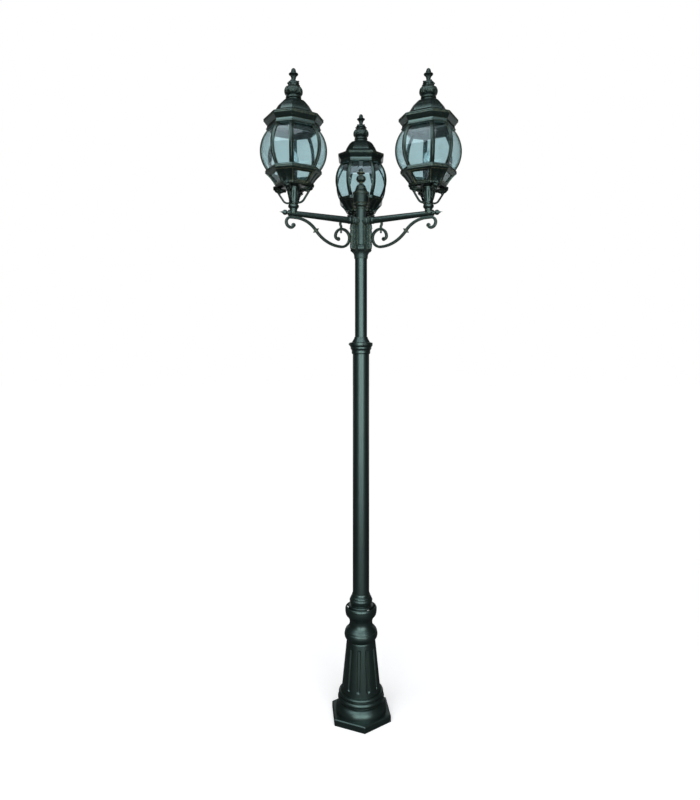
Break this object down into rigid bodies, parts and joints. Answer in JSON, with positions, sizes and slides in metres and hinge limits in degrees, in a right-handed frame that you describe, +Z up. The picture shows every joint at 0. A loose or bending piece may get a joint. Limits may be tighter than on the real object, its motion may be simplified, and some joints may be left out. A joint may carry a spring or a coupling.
{
  "type": "triple head lamp post",
  "caption": "Garden lamp post with a fluted base on a hexagonal foot, a two-part mast and glazed octagonal lanterns on scrolled arms.",
  "frame": {"origin": "centre of the base's underside, on the ground", "axes": "+Z up the mast, +Y along the rear arm, away from the front; -Y is the front"},
  "size_m": [0.6905, 0.617, 2.286],
  "materials": {
    "painted_casting": "satin black-green powder coat with a faint gold rub",
    "painted_tube": "satin black-green powder coat",
    "clear_glass": "clear bevelled glass with a blue-green tint",
    "bulb_glass": "clear lamp glass",
    "zinc_steel": "zinc plated",
    "lamp_brass": "thin rolled brass",
    "holder_plastic": "moulded black",
    "bush_plastic": "natural nylon"
  },
  "bodies": {
    "lower_post": {"base_foot": "painted_casting", "base_column": "painted_casting", "base_collar": "painted_casting", "base_screws": "zinc_steel", "anchor_plate": "zinc_steel", "lower_mast": "painted_tube", "mast_collar": "painted_casting", "mast_bush": "bush_plastic", "stop_bolt": "zinc_steel", "collar_screws": "zinc_steel"},
    "mast_head": {"upper_mast": "painted_tube", "hub": "painted_casting", "cap_ring": "painted_casting", "rear_arm": "painted_casting", "left_arm": "painted_casting", "right_arm": "painted_casting", "rear_scroll": "painted_casting", "left_scroll": "painted_casting", "right_scroll": "painted_casting"},
    "cap": {"post_cap": "painted_casting"},
    "rear_lantern": {"rear_cup": "painted_casting", "rear_foot_scrolls": "painted_casting", "rear_basket": "painted_casting", "rear_lower_glass": "clear_glass", "rear_cage": "painted_casting", "rear_panes": "clear_glass", "rear_bridge": "zinc_steel", "rear_lampholder": "holder_plastic"},
    "rear_lid": {"rear_roof": "painted_casting", "rear_crown": "painted_casting"},
    "rear_nut": {"rear_finial": "painted_casting"},
    "rear_lamp": {"rear_bulb_cap": "lamp_brass", "rear_bulb": "bulb_glass"},
    "left_lantern": {"left_cup": "painted_casting", "left_foot_scrolls": "painted_casting", "left_basket": "painted_casting", "left_lower_glass": "clear_glass", "left_cage": "painted_casting", "left_panes": "clear_glass", "left_bridge": "zinc_steel", "left_lampholder": "holder_plastic"},
    "left_lid": {"left_roof": "painted_casting", "left_crown": "painted_casting"},
    "left_nut": {"left_finial": "painted_casting"},
    "left_lamp": {"left_bulb_cap": "lamp_brass", "left_bulb": "bulb_glass"},
    "right_lantern": {"right_cup": "painted_casting", "right_foot_scrolls": "painted_casting", "right_basket": "painted_casting", "right_lower_glass": "clear_glass", "right_cage": "painted_casting", "right_panes": "clear_glass", "right_bridge": "zinc_steel", "right_lampholder": "holder_plastic"},
    "right_lid": {"right_roof": "painted_casting", "right_crown": "painted_casting"},
    "right_nut": {"right_finial": "painted_casting"},
    "right_lamp": {"right_bulb_cap": "lamp_brass", "right_bulb": "bulb_glass"}
  },
  "joints": [
    {"name": "mast_lift", "type": "slide", "parent": "lower_post", "child": "mast_head", "axis": [0, 0, 1], "range_m": [0, 0.12]},
    {"name": "cap_lift", "type": "slide", "parent": "mast_head", "child": "cap", "axis": [0, 0, 1], "range_m": [0, 0.06]},
    {"name": "rear_lantern_turn", "type": "hinge", "parent": "mast_head", "child": "rear_lantern", "pos_m": [0, 0.266, 1.801], "axis": [0, 0, 1], "range_deg": [-90, 90]},
    {"name": "rear_lid_lift", "type": "slide", "parent": "rear_lantern", "child": "rear_lid", "axis": [0, 0, 1], "range_m": [0, 0.06]},
    {"name": "rear_nut_turn", "type": "hinge", "parent": "rear_lid", "child": "rear_nut", "pos_m": [0, 0.266, 2.25], "axis": [0, 0, 1], "continuous": true},
    {"name": "rear_lamp_turn", "type": "hinge", "parent": "rear_lantern", "child": "rear_lamp", "pos_m": [0, 0.266, 1.95], "axis": [0, 0, 1], "continuous": true},
    {"name": "left_lantern_turn", "type": "hinge", "parent": "mast_head", "child": "left_lantern", "pos_m": [-0.23036, -0.133, 1.801], "axis": [0, 0, 1], "range_deg": [-90, 90]},
    {"name": "left_lid_lift", "type": "slide", "parent": "left_lantern", "child": "left_lid", "axis": [0, 0, 1], "range_m": [0, 0.06]},
    {"name": "left_nut_turn", "type": "hinge", "parent": "left_lid", "child": "left_nut", "pos_m": [-0.23036, -0.133, 2.25], "axis": [0, 0, 1], "continuous": true},
    {"name": "left_lamp_turn", "type": "hinge", "parent": "left_lantern", "child": "left_lamp", "pos_m": [-0.23036, -0.133, 1.95], "axis": [0, 0, 1], "continuous": true},
    {"name": "right_lantern_turn", "type": "hinge", "parent": "mast_head", "child": "right_lantern", "pos_m": [0.23036, -0.133, 1.801], "axis": [0, 0, 1], "range_deg": [-90, 90]},
    {"name": "right_lid_lift", "type": "slide", "parent": "right_lantern", "child": "right_lid", "axis": [0, 0, 1], "range_m": [0, 0.06]},
    {"name": "right_nut_turn", "type": "hinge", "parent": "right_lid", "child": "right_nut", "pos_m": [0.23036, -0.133, 2.25], "axis": [0, 0, 1], "continuous": true},
    {"name": "right_lamp_turn", "type": "hinge", "parent": "right_lantern", "child": "right_lamp", "pos_m": [0.23036, -0.133, 1.95], "axis": [0, 0, 1], "continuous": true}
  ]
}
